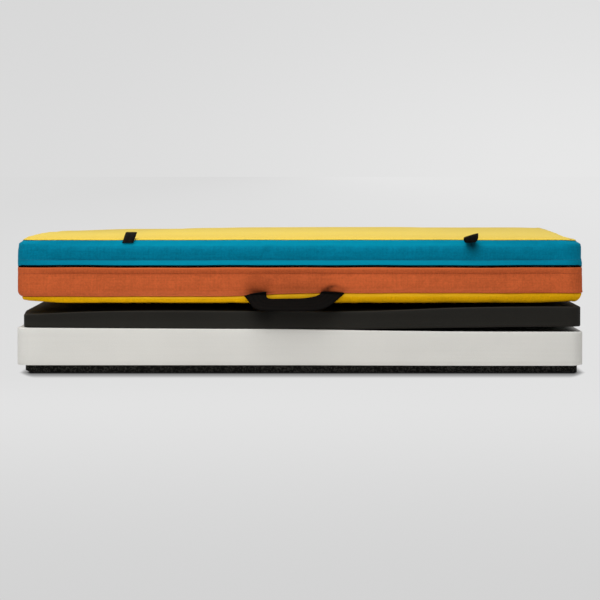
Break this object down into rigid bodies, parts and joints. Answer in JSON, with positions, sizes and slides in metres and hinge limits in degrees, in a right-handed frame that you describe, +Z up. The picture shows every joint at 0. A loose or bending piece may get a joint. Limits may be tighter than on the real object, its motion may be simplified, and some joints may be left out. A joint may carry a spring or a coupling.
{
  "type": "bouldering crash pad",
  "caption": "Zipped fabric landing pad with a foam core, webbing loops and carry handles, lying on the bare foam layers of such a core.",
  "frame": {"origin": "on the floor under the middle of the stack", "axes": "+X to the right along the pictured edge, +Y from the pictured edge to the back, +Z up"},
  "size_m": [1, 1.2572, 0.2535],
  "materials": {
    "yellow_fabric": "matte coated polyester",
    "blue_fabric": "matte woven polyester",
    "orange_fabric": "matte woven polyester",
    "zip_tape": "woven tape with a nylon coil",
    "zip_metal": "black painted die casting",
    "webbing": "black woven webbing",
    "closed_cell_foam": "matte closed-cell foam",
    "open_cell_foam": "soft open-cell foam, cut faces",
    "rebonded_foam": "dense speckled foam"
  },
  "bodies": {
    "base_layer": {"base_slab": "rebonded_foam"},
    "open_cell_layer": {"open_cell_slab": "open_cell_foam"},
    "closed_cell_layer": {"closed_cell_slab": "closed_cell_foam"},
    "pad_rear_half": {"rear_top_panel": "yellow_fabric", "rear_upper_boxing": "blue_fabric", "rear_lower_boxing": "orange_fabric", "rear_bottom_panel": "yellow_fabric", "rear_zip_upper_tape": "zip_tape", "rear_zip_lower_tape": "zip_tape", "rear_base_core": "rebonded_foam", "rear_open_cell_core": "open_cell_foam", "rear_closed_cell_core": "closed_cell_foam"},
    "pad_front_half": {"front_top_panel": "yellow_fabric", "front_upper_boxing": "blue_fabric", "front_lower_boxing": "orange_fabric", "front_bottom_panel": "yellow_fabric", "front_zip_upper_tape": "zip_tape", "front_zip_lower_tape": "zip_tape", "front_base_core": "rebonded_foam", "front_open_cell_core": "open_cell_foam", "front_closed_cell_core": "closed_cell_foam"},
    "front_carry_handle": {"front_handle": "webbing"},
    "rear_carry_handle": {"rear_handle": "webbing"},
    "front_left_webbing_loop": {"front_loop_left": "webbing"},
    "front_right_webbing_loop": {"front_loop_right": "webbing"},
    "rear_left_webbing_loop": {"rear_loop_left": "webbing"},
    "rear_right_webbing_loop": {"rear_loop_right": "webbing"},
    "left_slider": {"zip_slider_left": "zip_metal"},
    "right_slider": {"zip_slider_right": "zip_metal"},
    "left_pull": {"zip_pull_left": "zip_metal"},
    "right_pull": {"zip_pull_right": "zip_metal"}
  },
  "joints": [
    {"name": "open_cell_lift", "type": "slide", "parent": "base_layer", "child": "open_cell_layer", "axis": [0, 0, 1], "range_m": [0, 0.12]},
    {"name": "closed_cell_lift", "type": "slide", "parent": "open_cell_layer", "child": "closed_cell_layer", "axis": [0, 0, 1], "range_m": [0, 0.12]},
    {"name": "pad_lift", "type": "slide", "parent": "closed_cell_layer", "child": "pad_rear_half", "axis": [0, 0, 1], "range_m": [0, 0.2]},
    {"name": "pad_fold", "type": "hinge", "parent": "pad_rear_half", "child": "pad_front_half", "pos_m": [0, 0, 0.2451], "axis": [-1, 0, 0], "range_deg": [0, 180]},
    {"name": "front_handle_lift", "type": "hinge", "parent": "pad_front_half", "child": "front_carry_handle", "pos_m": [-0.0075, -0.59413, 0.1376], "axis": [-1, 0, 0], "range_deg": [0, 75]},
    {"name": "rear_handle_lift", "type": "hinge", "parent": "pad_rear_half", "child": "rear_carry_handle", "pos_m": [-0.0075, 0.59413, 0.1376], "axis": [1, 0, 0], "range_deg": [0, 75]},
    {"name": "front_left_loop_flop", "type": "hinge", "parent": "pad_front_half", "child": "front_left_webbing_loop", "pos_m": [-0.303, -0.59389, 0.234], "axis": [1, 0, 0], "range_deg": [0, 138]},
    {"name": "front_right_loop_flop", "type": "hinge", "parent": "pad_front_half", "child": "front_right_webbing_loop", "pos_m": [0.303, -0.59389, 0.234], "axis": [1, 0, 0], "range_deg": [-58, 26]},
    {"name": "rear_left_loop_flop", "type": "hinge", "parent": "pad_rear_half", "child": "rear_left_webbing_loop", "pos_m": [-0.303, 0.59389, 0.234], "axis": [-1, 0, 0], "range_deg": [-138, 0]},
    {"name": "rear_right_loop_flop", "type": "hinge", "parent": "pad_rear_half", "child": "rear_right_webbing_loop", "pos_m": [0.303, 0.59389, 0.234], "axis": [-1, 0, 0], "range_deg": [-138, 0]},
    {"name": "left_slider_run", "type": "slide", "parent": "pad_rear_half", "child": "left_slider", "axis": [-1, 0, 0], "range_m": [0, 0.44]},
    {"name": "right_slider_run", "type": "slide", "parent": "pad_rear_half", "child": "right_slider", "axis": [1, 0, 0], "range_m": [0, 0.44]},
    {"name": "left_pull_swing", "type": "hinge", "parent": "left_slider", "child": "left_pull", "pos_m": [-0.012, 0.6, 0.1888], "axis": [0, 1, 0], "range_deg": [-80, 80]},
    {"name": "right_pull_swing", "type": "hinge", "parent": "right_slider", "child": "right_pull", "pos_m": [0.012, 0.6, 0.1888], "axis": [0, 1, 0], "range_deg": [-80, 80]}
  ]
}
